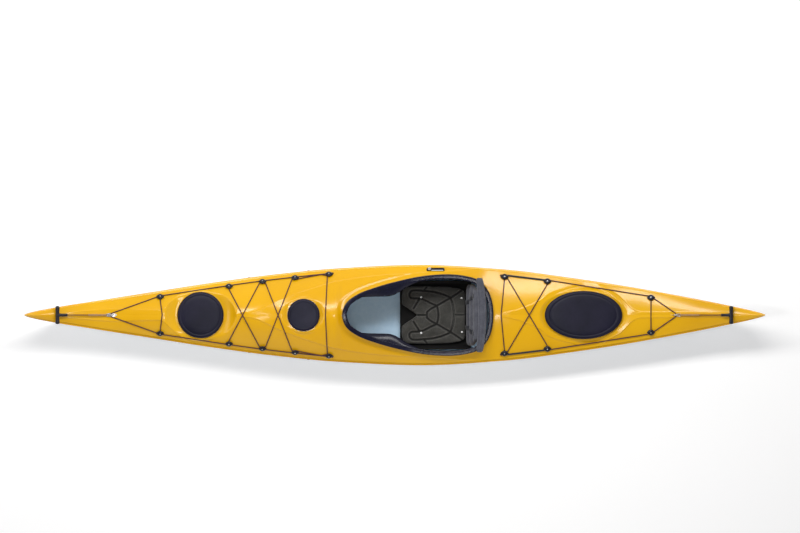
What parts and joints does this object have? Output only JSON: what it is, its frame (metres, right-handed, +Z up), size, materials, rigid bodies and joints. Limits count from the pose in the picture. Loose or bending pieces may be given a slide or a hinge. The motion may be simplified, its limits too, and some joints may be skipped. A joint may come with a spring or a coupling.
{
  "type": "touring kayak",
  "caption": "Hard-shell sit-inside touring kayak with a cockpit, dry hatches, drop skeg, padded seat, foot braces, grab toggles and deck rigging.",
  "frame": {"origin": "under the keel at the middle of the length, on the surface that the hull stands on", "axes": "+X towards the stern, +Y to starboard, +Z up"},
  "size_m": [4.27, 0.58, 0.357],
  "materials": {
    "hull_white": "satin moulded polyethylene, white",
    "deck_yellow": "glossy moulded polyethylene, golden yellow",
    "black_plastic": "satin moulded, blue-black",
    "hatch_rubber": "matt rubbery cover, navy black",
    "foam": "closed-cell foam, grey",
    "seat_fabric": "moulded fabric over foam, warm grey",
    "back_fabric": "moulded fabric over foam, grey violet",
    "webbing": "woven webbing, dark",
    "steel": "stainless",
    "cord": "braided cord, dark maroon"
  },
  "bodies": {
    "boat": {"hull_bow": "hull_white", "hull_middle": "hull_white", "hull_stern": "hull_white", "deck_shell": "deck_yellow", "front_bulkhead": "foam", "rear_bulkhead": "foam", "day_hatch_pod": "black_plastic", "cockpit_coaming": "black_plastic", "seat_pan": "black_plastic", "seat_pad": "seat_fabric", "skeg_box": "black_plastic", "skeg_cable_housing": "black_plastic", "skeg_control_track": "black_plastic", "front_hatch_rim": "black_plastic", "day_hatch_rim": "black_plastic", "rear_hatch_rim": "black_plastic", "foot_rail_left": "black_plastic", "foot_rail_screw_left_1": "steel", "foot_rail_screw_left_2": "steel", "foot_rail_right": "black_plastic", "foot_rail_screw_right_1": "steel", "foot_rail_screw_right_2": "steel", "bow_fitting_left_1": "black_plastic", "bow_fitting_right_1": "black_plastic", "bow_fitting_left_2": "black_plastic", "bow_fitting_right_2": "black_plastic", "bow_fitting_left_3": "black_plastic", "bow_fitting_right_3": "black_plastic", "bow_fitting_left_4": "black_plastic", "bow_fitting_right_4": "black_plastic", "bow_fitting_left_5": "black_plastic", "bow_fitting_right_5": "black_plastic", "stern_fitting_left_1": "black_plastic", "stern_fitting_right_1": "black_plastic", "stern_fitting_left_2": "black_plastic", "stern_fitting_right_2": "black_plastic", "stern_fitting_left_3": "black_plastic", "stern_fitting_right_3": "black_plastic", "bow_pad_eye": "steel", "bow_perimeter_line": "cord", "stern_pad_eye": "steel", "stern_perimeter_line": "cord", "bow_cross_bungee": "cord", "bow_front_bungee": "cord", "stern_cross_bungee": "cord", "stern_rear_bungee": "cord"},
    "front_cover": {"front_hatch_cover": "hatch_rubber"},
    "day_cover": {"day_hatch_cover": "hatch_rubber"},
    "rear_cover": {"rear_hatch_cover": "hatch_rubber"},
    "backrest": {"backrest": "back_fabric", "backrest_strap_left": "webbing", "backrest_strap_right": "webbing"},
    "skeg": {"skeg_blade": "black_plastic"},
    "skeg_knob": {"skeg_control_knob": "steel"},
    "pedal_left": {"foot_pedal_left": "black_plastic"},
    "pedal_right": {"foot_pedal_right": "black_plastic"},
    "bow_handle": {"bow_toggle": "black_plastic", "bow_toggle_cord": "cord"},
    "stern_handle": {"stern_toggle": "black_plastic", "stern_toggle_cord": "cord"}
  },
  "joints": [
    {"name": "front_cover_lift", "type": "slide", "parent": "boat", "child": "front_cover", "axis": [0, 0, 1], "range_m": [0, 0.1]},
    {"name": "day_cover_lift", "type": "slide", "parent": "boat", "child": "day_cover", "axis": [0, 0, 1], "range_m": [0, 0.1]},
    {"name": "rear_cover_lift", "type": "slide", "parent": "boat", "child": "rear_cover", "axis": [0, 0, 1], "range_m": [0, 0.1]},
    {"name": "backrest_fold", "type": "hinge", "parent": "boat", "child": "backrest", "pos_m": [0.43, 0, 0.118], "axis": [0, -1, 0], "range_deg": [0, 32]},
    {"name": "skeg_swing", "type": "hinge", "parent": "boat", "child": "skeg", "pos_m": [1.398, 0, 0.064], "axis": [0, -1, 0], "range_deg": [0, 17]},
    {"name": "skeg_control_slide", "type": "slide", "parent": "boat", "child": "skeg_knob", "axis": [1, 0, 0], "range_m": [0, 0.07]},
    {"name": "pedal_left_slide", "type": "slide", "parent": "boat", "child": "pedal_left", "axis": [0.9937, -0.1121, 0], "range_m": [-0.11, 0.17]},
    {"name": "pedal_right_slide", "type": "slide", "parent": "boat", "child": "pedal_right", "axis": [0.9937, 0.1121, 0], "range_m": [-0.11, 0.17]},
    {"name": "bow_handle_swing", "type": "hinge", "parent": "boat", "child": "bow_handle", "pos_m": [-1.62, 0, 0.283], "axis": [0, 1, 0], "range_deg": [0, 80]},
    {"name": "stern_handle_swing", "type": "hinge", "parent": "boat", "child": "stern_handle", "pos_m": [1.606, 0, 0.27], "axis": [0, -1, 0], "range_deg": [0, 80]}
  ],
  "couplings": [
    {"joint": "skeg_control_slide", "follows": "skeg_swing", "m_per_rad": 0.2359}
  ]
}
